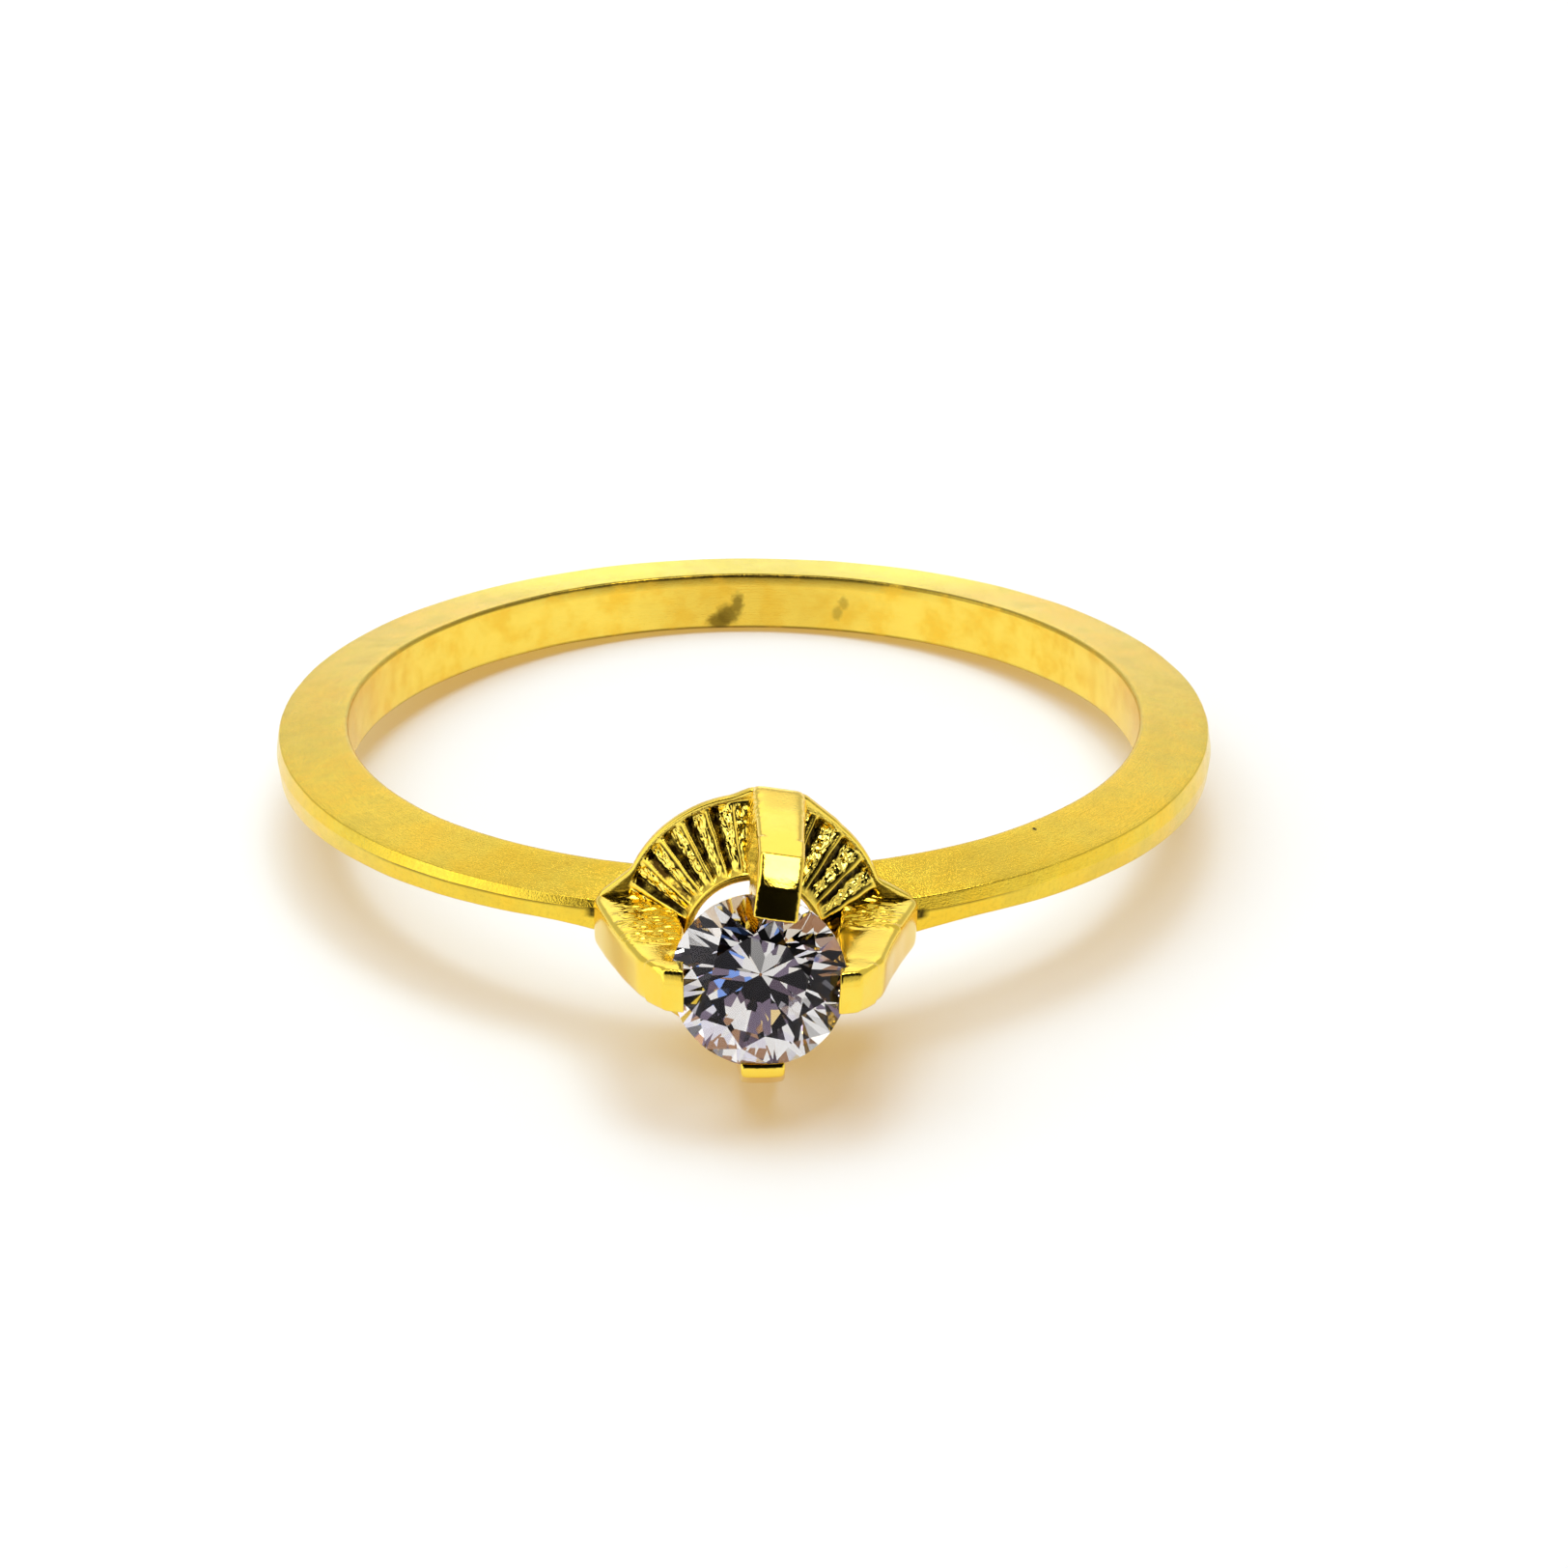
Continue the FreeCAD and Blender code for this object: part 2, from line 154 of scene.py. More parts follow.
WALL_SHARE = 9                # the painted shade on the walls is full where this times the share of depth reaches 1

# ---- collet, claws and stone ----
WELD = 0.0005                 # doubled points of the CAD meshes are closer than this
WHOLE_FACE = 0.6              # triangles within this angle are one face
COLLET_EASE = 0.03
EASE_ANGLE = 24               # edges sharper than this are eased
EASE_STEPS = 3
STONE_SCALE = 0.998           # the stone just clears its seats
CLAW_GRAIN = 0.025            # size of the faces on a claw
CLAW_SOFTENING = 8            # passes that round its edges
FOOT_SOFTENING = 90           # more passes for the edges below the tip
SOFTENING = 0.5               # strength of a pass
TIP_HALF = 0.41
TIP_FROM = 12.25              # heights between which the shaping of the tip comes in
TIP_FULL = 12.55
TIP_FACE = 0.30               # depth of the tip's end below its highest point
TIP_DOME = 0.03               # how far the tip's end falls at its sides
TIP_ROLL = 0.09               # and at the upper edge of the three lower claws
TIP_LEAN = 0.06               # how far the upper claw's end leans back
ROLL_FROM = 0.6               # share of the end's height where its upper edge begins
CLAW_SKIN = {                 # top of the torn flanks, height below which edges are softer, roll, lean
    "claw_top": (10.6, 11.3, 0, TIP_LEAN),
    "claw_right": (10.7, 12.1, TIP_ROLL, 0),
    "claw_bottom": (10.4, 12.1, TIP_ROLL, 0),
    "claw_left": (11.5, 12.1, TIP_ROLL, 0),
}
FLAKE = 0.060                 # height of the torn metal on the flanks, in large and small flakes
FLAKE_LARGE = (2.2, 5.5, 2)   # scales outwards, upwards and sideways
FLAKE_SMALL = (5, 12)         # outwards and upwards, with a fixed value sideways
FLAKE_SMALL_AT = 7.7
FLAKE_SMALL_SHARE = 0.7
FLANK = (0.30, 0.40)          # distances from a claw's middle plane over which its flank begins
FLANK_FADE = 0.35             # height over which the torn metal fades out upwards
FLANK_OUT = (2.2, 2.9)        # radii between which it fades out outwards
CLAW_WAVE = 0.006             # how uneven the sides are all over, and the scale of it
CLAW_WAVES = 1.7

# ---- gold ----
GOLD = (0.96, 0.70, 0.10, 1)
GOLD_GREEN = (0.90, 0.70, 0.10, 1)
GOLD_ORANGE = (0.96, 0.62, 0.05, 1)
GOLD_KHAKI = (0.78, 0.60, 0.10, 1)
GOLD_BROWN = (0.66, 0.42, 0.05, 1)
GOLD_DEEP = (0.94, 0.58, 0.05, 1)
GOLD_WARM = (1.00, 0.73, 0.11, 1)
GOLD_PALE = (1.00, 0.78, 0.14, 1)
GOLD_AMBER = (1.00, 0.69, 0.05, 1)
# Colour of the painted sheen on the band's outer faces at the back.
PAINTED_SHEEN_LEMON = (1.00, 0.90, 0.07, 1)
OUTER_TINT = (0.96, 0.93, 0.65, 1)
# Dark of the pits, and also the colour of the shank's painted dark lines: painted shade and dark
# reflections.
DIRT_AND_SHADE = (0.060, 0.040, 0.005, 1)
GRIME = (0.16, 0.10, 0.010, 1)
# Painted shade: near-black for the smooth flute walls, deeper in the flutes.
FLUTE_PAINTED_SHADE = (0.014, 0.007, 0.001, 1)
CLOUDS = (0.8, 4)             # noises on all the gold: scale per millimetre, detail
BLOTCHES = (5.0, 4)
POLISH_PATCHES = (2.2, 5)
FINE_GRAIN = (26.0, 2)
FILE_LINES = (9, 60, 60)      # scale round the finger, outwards and along the finger hole
PIT_SCALE = 1.1               # scattered pits: scale, share of places left bare, edge and bottom, depth
PIT_BARE = 0.72
PIT_SIZE = (0.055, 0.02)
PIT_DEPTH = -2.0
BUMP_HEIGHT = 0.010
BAND_TONES = (                # the shank's noises: scale, detail, roughness; limits; strength; tint
    ((1.1, 3, 0.5), (0.40, 0.75), 0.6, GOLD_KHAKI),
    ((1.1, 3, 0.5), (0.50, 0.25), 0.5, GOLD_ORANGE),
    ((13.0, 4, 0.7), (0.45, 0.70), 0.3, GOLD_BROWN),
)
BAND_MOTTLE = (1.7, 4, 0.55)
WALL_EDGE = (FINGER_RADIUS + 0.02, FINGER_RADIUS + 0.10)  # where the finger side ends
BACK_SHEEN_SPAN = (6.5, 8.8)       # a painted lemon sheen comes onto the outer faces between these Y
CLAW_LOW_SHADE = (-1.9, -2.7)     # the claws get a painted brown shade low down, near the floor, between these Z
SMUDGES = (                   # on the shank: centre, squeeze along each axis, size, strength
    ((0.60, 8.25, 0.00), (0.30, 0.3, 0.7), 0.90, 0.45),
    ((-0.36, 8.25, -0.47), (0.9, 0.3, 1.2), 0.27, 0.85),
    ((-0.14, 8.25, -0.30), (0.9, 0.3, 1.0), 0.27, 0.85),
    ((0.08, 8.25, -0.04), (1.3, 0.3, 0.7), 0.20, 0.75),
    ((2.32, 7.92, -0.18), (1.2, 1.0, 0.8), 0.16, 0.40),
    ((2.45, 7.88, 0.06), (1.2, 1.0, 0.8), 0.15, 0.40),
)
LARGE_SMUDGE = 0.5            # above this size a smudge is brown, below it grime
PITS = (                      # on the shank: centre, size
    ((5.55, -6.45, 0.57), 0.055),
    ((6.79, -6.15, 0.37), 0.040),
    ((-7.10, -6.02, 0.34), 0.045),
    ((-7.40, -5.80, 0.35), 0.030),
    ((-3.90, -7.10, 0.62), 0.040),
)

# ---- stone ----
STONE_IOR = 2.1
STONE_MIRROR = (0.18, 0.17, 0.19, 1)  # tint of what its surface mirrors
WHITE = (1, 1, 1, 1)
SMOKE = (0.30, 0.28, 0.34, 1)
SMOKE_DENSITY = 0.10          # per millimetre
STONE_SMEARS = (1.6, 4)       # noise of its dull patches, the noise's limits, and their roughness
SMEAR_LIMITS = (0.60, 0.75)
SMEAR_ROUGHNESS = 0.03
PAINTED_FIRE_SCALE = 2.2              # patches of painted fire per millimetre of the stone
PAINTED_FIRE = (                      # painted fire, painted dark and painted reflections of the gold: share of the patches at which each tint begins, and the tint
    (0.00, (1.00, 0.96, 0.92, 1)),
    (0.20, (0.02, 0.01, 0.02, 1)),
    (0.40, (0.20, 0.06, 0.02, 1)),
    (0.49, (0.80, 0.74, 0.90, 1)),
    (0.58, (0.95, 0.55, 0.12, 1)),
    (0.68, (0.05, 0.03, 0.06, 1)),
    (0.84, (0.06, 0.18, 1.00, 1)),
    (0.90, (1.00, 0.92, 0.78, 1)),
)

# ---- floor: the ring rests on the back of the band and the foot of the lower claw ----
REST_TILT = 6.6
REST_BACK = 9.53
REST_HEIGHT = -0.602
FLOOR_HALF = 900
PAPER = (0.34, 0.47, 0.59, 1)         # scatters the light, on top of an even glow
PAPER_GLOW = (0.475, 0.26, 0.055, 1)
PAPER_FAR = (0.985, 0.965, 0.94, 1)   # far from the ring it is even and bright
PAPER_FADE = (45, 120)                # distances over which it becomes so
PAPER_PLAIN = (0.9, 0.9, 0.9, 1)      # its colour for the light it throws on the ring

# ---- camera ----
VIEW_FROM = Vector((-2.3478, -92.7523, 37.3028))
VIEW_ALONG = Vector((0.0317075, 0.92361977, -0.38199628))
VIEW_UP = Vector((0.01489534, 0.38170934, 0.92416238))
LENS = 109.48
SENSOR = 36
NEAR_CLIP = 1
FAR_CLIP = 10000

# ---- light ----
# The surroundings are a tent. A patch of it is given by its compass angle, from the direction behind
# the ring or from the direction toward the viewer, then by its rise above the horizon: each as a
# middle, a half size and a soft edge. Its brightness comes last.
TENT_LEVEL = 0.62
TENT_FOOT = 1.0               # brightness low down
TENT_FADE = (20, 5)           # rise over which the one becomes the other
PANELS = (                    # lit panels of the tent
    ("behind", (2, 18, 10), (36, 7, 5), 1.35),
    ("behind", (2, 5, 5), (13, 4, 4), 1.35),
    ("toward", (-66, 20, 16), (18, 12, 12), 1.2),
)
OPENING_UPPER = ((8, 48, 34), (52, 22, 9))  # the viewer's dark opening, wide above, narrow below
OPENING_LOWER = ((4, 22, 10), (44, 30, 9))
DARK_LEVEL = 0.004            # brightness of that opening
GLOWS = (                     # lights beside it: a lamp above, and a weak one for the left flank
    ("toward", (62, 24, 8), (72, 6, 3), 6.5),
    ("toward", (-78, 16, 10), (48, 20, 10), 1.0),
)
TENT_WHITE = (1.0, 1.0, 0.97, 1)
SEEN_WHITE = (1, 1, 0.98, 1)
LAMPS = (                     # name, place, size, watts, whether the ring mirrors it
    ("overhead", (0, 20, 260), 90, 0.16, True),
    ("window", (-45, -15, 245), 300, 0.72, False),
)


# ---------------------------------------------------------------- mesh helpers
def new_object(name, mesh, material):
    """Object for a mesh, in the scene, with one material."""
    piece = bpy.data.objects.new(name, mesh)
    bpy.context.scene.collection.objects.link(piece)
    mesh.materials.clear()
    mesh.materials.append(material)
    return piece


def shade(mesh, smooth):
    """Smooth or flat shading for every face of a mesh."""
    mesh.polygons.foreach_set("use_smooth", [smooth] * len(mesh.polygons))


def mark(piece, attribute, values):
    """Value at every point of a piece, for its material to read."""
    piece.data.attributes.new(attribute, "FLOAT", "POINT").data.foreach_set("value", values)


def swept(name, rows, material, closed_along=False):
    """Smooth mesh over rows of points in millimetres; each row is a closed outline."""
    count = len(rows[0])
    vertices = [[c * MM for c in point] for row in rows for point in row]
    faces = []
    spans = len(rows) if closed_along else len(rows) - 1
    for row in range(spans):
        here = row * count
        there = (row + 1) % len(rows) * count
        for point in range(count):
            after = (point + 1) % count
            faces.append((here + point, here + after, there + after, there + point))
    if not closed_along:
        faces.append(tuple(reversed(range(count))))
        faces.append(tuple(range((len(rows) - 1) * count, len(rows) * count)))
    mesh = bpy.data.meshes.new(name)
    mesh.from_pydata(vertices, [], faces)
    mesh.update()
    work = bmesh.new()
    work.from_mesh(mesh)
    bmesh.ops.recalc_face_normals(work, faces=work.faces)
    work.to_mesh(mesh)
    work.free()
    shade(mesh, True)
    return new_object(name, mesh, material)


def rounded_outline(corners, roundings):
    """Closed outline of a polygon with eased corners, as evenly divided arcs and edges."""
    arcs = []
    count = len(corners)
    for index, rounding in enumerate(roundings):
        here = Vector(corners[index])
        to_before = Vector(corners[index - 1]) - here
        to_after = Vector(corners[(index + 1) % count]) - here
        opening = to_before.angle(to_after)
        shorter = min(to_before.length, to_after.length)
        reach = min(rounding / math.tan(opening / 2), SHORTER_SHARE * shorter)
        start = here + to_before.normalized() * reach
        end = here + to_after.normalized() * reach
        arc = []
        for step in range(ARC_STEPS + 1):
            t = step / ARC_STEPS
            arc.append(start * (1 - t) ** 2 + here * 2 * t * (1 - t) + end * t ** 2)
        arcs.append(arc)
    outline = []
    for index, arc in enumerate(arcs):
        outline += arc
        following = arcs[(index + 1) % count][0]
        for step in range(1, EDGE_POINTS + 1):
            outline.append(arc[-1].lerp(following, step / (EDGE_POINTS + 1)))
    return outline


def eased(low, high, value):
    """0 below low, 1 above high, smooth between."""
    t = min(1, max(0, (value - low) / (high - low)))
    return t * t * (3 - 2 * t)


def welded(cad_node):
    """Working mesh of a CAD node with its doubled points joined."""
    work = bmesh.new()
    work.from_mesh(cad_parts[cad_node].data)
    bmesh.ops.remove_doubles(work, verts=work.verts, dist=WELD * MM)
    return work


def finished_mesh(work, name):
    """Mesh made of a working mesh, which is freed."""
    mesh = bpy.data.meshes.new(name)
    work.to_mesh(mesh)
    work.free()
    return mesh


def applied(piece):
    """Mesh of a piece with its modifiers applied; the modifiers are cleared."""
    bpy.context.view_layer.update()
    depsgraph = bpy.context.evaluated_depsgraph_get()
    mesh = bpy.data.meshes.new_from_object(piece.evaluated_get(depsgraph))
    piece.modifiers.clear()
    return mesh


# ---------------------------------------------------------------- node helpers
def new_material(name):
    """Empty node material and its node tree."""
    material = bpy.data.materials.new(name)
    material.use_nodes = True
    material.node_tree.nodes.clear()
    return material, material.node_tree


def node(tree, kind, inputs=None, **settings):
    """Node of a kind with its settings; inputs are values or sockets to link."""
    made = tree.nodes.new(kind)
    for key, value in settings.items():
        setattr(made, key, value)
    for key, value in (inputs or {}).items():
        if isinstance(value, bpy.types.NodeSocket):
            tree.links.new(value, made.inputs[key])
        else:
            made.inputs[key].default_value = value
    return made


def math_node(tree, operation, *values):
    """Output of a Math node over values or sockets."""
    return node(tree, "ShaderNodeMath", dict(enumerate(values)), operation=operation).outputs[0]


def product(tree, first, second):
    """Two values or sockets multiplied."""
    return math_node(tree, "MULTIPLY", first, second)


def vector_node(tree, operation, *values):
    """Vector output of a Vector Math node over vectors or sockets."""
    made = node(tree, "ShaderNodeVectorMath", dict(enumerate(values)), operation=operation)
    return made.outputs["Vector"]


def length(tree, vector):
    """Length of a vector socket."""
    return node(tree, "ShaderNodeVectorMath", {0: vector}, operation="LENGTH").outputs["Value"]


def split(tree, vector):
    """X, Y and Z of a vector socket."""
    return node(tree, "ShaderNodeSeparateXYZ", {0: vector}).outputs


def graded(tree, value, low, high, to_low=0.0, to_high=1.0):
    """Smooth map of a socket from low..high to to_low..to_high."""
    made = node(tree, "ShaderNodeMapRange", {
        "Value": value, "From Min": low, "From Max": high, "To Min": to_low, "To Max": to_high,
    }, interpolation_type="SMOOTHSTEP")
    return made.outputs["Result"]


def mixed(tree, share, first, second, blend="MIX"):
    """Colour between two colours or sockets."""
    inputs = {0: share, 6: first, 7: second}
    return node(tree, "ShaderNodeMix", inputs, data_type="RGBA", blend_type=blend).outputs[2]


def marked(tree, attribute):
    """Value that a piece's points are marked with."""
    return node(tree, "ShaderNodeAttribute", attribute_name=attribute).outputs["Fac"]


def millimetres(tree):
    """Position in the ring frame, in millimetres, as a vector socket."""
    place = node(tree, "ShaderNodeTexCoord").outputs["Object"]
    inputs = {0: place, "Scale": 1 / MM}
    return node(tree, "ShaderNodeVectorMath", inputs, operation="SCALE").outputs[0]


def noise_at(tree, vector, scale, detail=3.0, roughness=0.55):
    """Noise texture value over a vector."""
    inputs = {"Vector": vector, "Scale": scale, "Detail": detail, "Roughness": roughness}
    return node(tree, "ShaderNodeTexNoise", inputs).outputs[0]


def material_output(tree, shader, **others):
    """Output node for a surface shader, and for a volume socket by name."""
    node(tree, "ShaderNodeOutputMaterial", {"Surface": shader.outputs[0], **others})


# ---------------------------------------------------------------- gold
def round_the_finger(tree, place):
    """Radius from the finger hole's axis, and a vector that runs along the band: turn, radius, z."""
    x, y, z = split(tree, place)
    radius = length(tree, node(tree, "ShaderNodeCombineXYZ", {0: x, 1: y}).outputs[0])
    turn = math_node(tree, "ARCTAN2", x, y)
    along = node(tree, "ShaderNodeCombineXYZ", {0: turn, 1: radius, 2: z}).outputs[0]
    return radius, along


def spot(tree, place, centre, stretch, size):
    """1 in the middle of a spot with a ragged edge, 0 outside; stretch squeezes it along the axes."""
    ragged = node(tree, "ShaderNodeTexNoise", {"Vector": place, "Scale": 1.6 / size, "Detail": 3.0})
    shaken = vector_node(tree, "MULTIPLY_ADD", ragged.outputs["Color"], (size, size, size), place)
    shaken = vector_node(tree, "SUBTRACT", shaken, [c + size / 2 for c in centre])
    away = length(tree, vector_node(tree, "MULTIPLY", shaken, stretch))
    return graded(tree, away, size * 1.2, size * 0.4)


def band_wear_and_painted_light(tree, place, radius, tone):
    """Shank's own tones: clouds and specks, smudges and pits; and painted light and shade: a painted
    deeper orange on the finger side, a painted lemon sheen on the outer faces at the back, and painted
    dark lines."""
    for texture, limits, strength, tint in BAND_TONES:
        cloud = graded(tree, noise_at(tree, place, *texture), *limits, 0.0, strength)
        tone = mixed(tree, cloud, tone, tint)

    mottle = noise_at(tree, place, *BAND_MOTTLE)
    near, far = WALL_EDGE
    inside = graded(tree, radius, far, near)
    outside = graded(tree, radius, near, far)
    # Painted reflection: the finger side is painted a deeper, mottled orange, standing in for gold
    # mirrored in gold.
    deep = mixed(tree, graded(tree, mottle, 0.30, 0.62), GOLD_DEEP, GOLD_WARM)
    tone = mixed(tree, product(tree, inside, 0.85), tone, deep)
    tone = mixed(tree, outside, tone, OUTER_TINT, "MULTIPLY")
    # Painted highlight: the outer faces at the back are painted a bright lemon sheen.
    back = product(tree, outside, graded(tree, split(tree, place)[1], *BACK_SHEEN_SPAN))
    tone = mixed(tree, product(tree, back, 0.9), tone, PAINTED_SHEEN_LEMON)

    for centre, stretch, size, strength in SMUDGES:
        smudge = product(tree, spot(tree, place, centre, stretch, size), strength)
        tone = mixed(tree, smudge, tone, GOLD_BROWN if size > LARGE_SMUDGE else GRIME)
    for centre, size in PITS:
        tone = mixed(tree, spot(tree, place, centre, (1, 1, 1), size), tone, DIRT_AND_SHADE)
    # Painted dark lines: painted dark reflection under the knife edge and on the upper finger edge,
    # painted shade at the head and on the lower finger edge, broken by the mottle.
    broken = graded(tree, mottle, 0.30, 0.50, 0.55, 1.0)
    return mixed(tree, product(tree, marked(tree, "painted_dark_line"), broken), tone, DIRT_AND_SHADE)


def flute_wear_and_shade(tree, blotch, tone, roughness):
    """Crown's tone and polish: painted near-black shade on the smooth walls, pale gold where it is torn.
    """
    shaded_wall = marked(tree, "flute_wall_shade")
    torn = marked(tree, "torn")
    wall_darkening = product(tree, shaded_wall, graded(tree, blotch, 0.45, 0.75, 1.0, 0.75))
    tone = mixed(tree, wall_darkening, tone, FLUTE_PAINTED_SHADE)
    tone = mixed(tree, product(tree, torn, 0.95), tone, GOLD_PALE)
    cut = math_node(tree, "MAXIMUM", shaded_wall, torn)
    return tone, graded(tree, cut, 0.0, 1.0, roughness * 2.4, roughness * 1.2)


def claw_wear_and_shade(tree, place, blotch, tone):
    """Claws' tone: amber where their flanks are torn, and painted brown shade low down, near the floor.
    """
    tone = mixed(tree, product(tree, marked(tree, "torn"), 0.7), tone, GOLD_AMBER)
    # Painted shade: the claws turn brown low down, where they come near the floor.
    low_shade = graded(tree, split(tree, place)[2], *CLAW_LOW_SHADE, 0.0, 0.75)
    low_shade = product(tree, low_shade, graded(tree, blotch, 0.35, 0.60, 0.45, 1.0))
    return mixed(tree, low_shade, tone, GOLD_BROWN)


def gold(name, roughness, grain, file_lines, wear_and_shade=None):
    """Worked yellow gold: cloudy colour, uneven polish, fine grain and file lines, with the wear and the
    painted light and shade of the band, the flutes or the claws. All but the band have a few small pits."""
    material, tree = new_material(name)
    place = millimetres(tree)
    radius, along = round_the_finger(tree, place)

    blotch = noise_at(tree, place, *BLOTCHES)
    cloud = graded(tree, noise_at(tree, place, *CLOUDS), 0.35, 0.65)
    tone = mixed(tree, 0.45, GOLD, mixed(tree, cloud, GOLD_GREEN, GOLD_ORANGE))
    tone = mixed(tree, graded(tree, blotch, 0.45, 0.75, 0.0, 0.35), tone, GOLD_ORANGE)

    lines = noise_at(tree, vector_node(tree, "MULTIPLY", along, FILE_LINES), 1.0, 3)
    height = product(tree, noise_at(tree, place, *FINE_GRAIN), grain)
    height = math_node(tree, "MULTIPLY_ADD", lines, file_lines, height)

    if wear_and_shade == "band":
        tone = band_wear_and_painted_light(tree, place, radius, tone)
    else:
        pits = node(tree, "ShaderNodeTexVoronoi", {"Vector": place, "Scale": PIT_SCALE})
        few = math_node(tree, "GREATER_THAN", pits.outputs["Color"], PIT_BARE)
        pit = product(tree, graded(tree, pits.outputs["Distance"], *PIT_SIZE), few)
        tone = mixed(tree, pit, tone, DIRT_AND_SHADE)
        height = math_node(tree, "MULTIPLY_ADD", pit, PIT_DEPTH, height)
    if wear_and_shade == "claws":
        tone = claw_wear_and_shade(tree, place, blotch, tone)
    if wear_and_shade == "flutes":
        tone, polish = flute_wear_and_shade(tree, blotch, tone, roughness)
    else:
        uneven = noise_at(tree, place, *POLISH_PATCHES)
        polish = graded(tree, uneven, 0.3, 0.7, roughness * 0.8, roughness * 1.2)

    bump = node(tree, "ShaderNodeBump", {
        "Height": height, "Strength": 1.0, "Distance": BUMP_HEIGHT * MM,
    })
    shader = node(tree, "ShaderNodeBsdfPrincipled", {
        "Base Color": tone, "Metallic": 1.0, "Roughness": polish, "Normal": bump.outputs[0],
    })
    material_output(tree, shader)
    return material


band_gold = gold("band_gold", 0.22, 0.7, 0.4, "band")
crown_gold = gold("crown_gold", 0.10, 0.3, 0.0, "flutes")
collet_gold = gold("collet_gold", 0.25, 0.8, 0.4)
claw_gold = gold("claw_gold", 0.10, 0.2, 0.0, "claws")


# ---------------------------------------------------------------- stone's material
def clear_stone():
    """Clear cut stone, faintly smoky. The light that leaves it is tinted in patches: painted fire,
    painted dark and painted reflections of the gold.
    """
    material, tree = new_material("clear_stone")
    place = millimetres(tree)
    patches = node(tree, "ShaderNodeTexVoronoi", {"Vector": place, "Scale": PAINTED_FIRE_SCALE})
    chance = node(tree, "ShaderNodeSeparateColor", {0: patches.outputs["Color"]}).outputs[0]
    ramp = node(tree, "ShaderNodeValToRGB", {0: chance})
    ramp.color_ramp.interpolation = "CONSTANT"
    stops = ramp.color_ramp.elements
    while len(stops) < len(PAINTED_FIRE):
        stops.new(1.0)
    for stop, (share, colour) in zip(stops, PAINTED_FIRE):
        stop.position = share
        stop.color = colour
    # Painted fire and reflections: only light leaving the stone takes the patch tints.
    leaving = node(tree, "ShaderNodeNewGeometry").outputs["Backfacing"]
    tint = mixed(tree, leaving, WHITE, ramp.outputs[0])
    dull = graded(tree, noise_at(tree, place, *STONE_SMEARS), *SMEAR_LIMITS, 0.0, SMEAR_ROUGHNESS)
    shader = node(tree, "ShaderNodeBsdfPrincipled", {
        "Base Color": tint, "Roughness": dull, "IOR": STONE_IOR, "Transmission Weight": 1.0,
        "Specular Tint": STONE_MIRROR,
    })
    smoke = node(tree, "ShaderNodeVolumeAbsorption", {"Color": SMOKE, "Density": SMOKE_DENSITY / MM})
    material_output(tree, shader, Volume=smoke.outputs[0])
    return material


stone_clear = clear_stone()


# ---------------------------------------------------------------- shank
def shank_corners(degrees):
    """Corners (radius, z) of the shank's section at an angle from the head: knife edge, upper corner
    of the outer face, the two finger edges, lower corner of the outer face."""
    turn = math.radians(degrees)
    to_head = (1 + math.cos(turn)) / 2
    side_share = math.sin(turn) ** 2
    from_end = min(degrees, 360 - degrees) - SHANK_OPENING
    flare = SHANK_FLARE * max(0, 1 - from_end / FLARE_SPAN) ** 2
    ridge = OUTER_RADIUS_ENDS + (OUTER_RADIUS_SIDES - OUTER_RADIUS_ENDS) * side_share
    rise = RIDGE_RISE_BACK + (RIDGE_RISE_HEAD - RIDGE_RISE_BACK) * to_head
    corner = ridge - rise
    above = FACE_HALF_BACK + (FACE_ABOVE_HEAD - FACE_HALF_BACK) * to_head
    below = FACE_HALF_BACK + (FACE_BELOW_HEAD - FACE_HALF_BACK) * to_head + flare
    lift = RIDGE_SHIFT_LEFT * to_head if degrees > 180 else 0
    above += lift / 3
    below -= lift
    half_inner = SHANK_WIDTH / 2
    return [
        (ridge, lift), (corner, above), (FINGER_RADIUS, half_inner),
        (FINGER_RADIUS, -half_inner), (corner, -below),
    ]


def painted_line_darkness(degrees):
    """Painted darkness of every point round a section: painted dark reflection under the knife edge,
    painted shade where it meets the head, painted dark reflection and shade on the finger edges.
    """
    from_head = min(degrees, 360 - degrees)
    dark_reflection = 1 - eased(*(DARK_REFLECTION_LEFT if degrees > 180 else DARK_REFLECTION_RIGHT), from_head)
    join_shade = 1 - eased(*HEAD_JOIN_SHADE, from_head)
    far = eased(*BACK_SPAN, from_head)
    lines = [0] * SECTION_POINTS
    for point in range(3):
        lines[point] = DARK_REFLECTION_STRENGTH * dark_reflection
    for point in range(-2, ARC_STEPS + 1):
        lines[point] = max(lines[point], join_shade)
    upper_edge = 2 * CORNER_POINTS
    # Painted dark reflection along the upper finger edge, and painted shade along the lower one.
    for point in range(upper_edge + 1, upper_edge + ARC_STEPS):
        lines[point] = EDGE_DARK + EDGE_DARKER * eased(*EDGE_SPAN, from_head)
    lines[upper_edge + ARC_STEPS] = EDGE_BACK_DARK * far
    lower_edge = 3 * CORNER_POINTS
    for point in range(lower_edge + 1, lower_edge + ARC_STEPS - 1):
        lines[point] = LOWER_DARK + LOWER_DARKER * far
    return lines


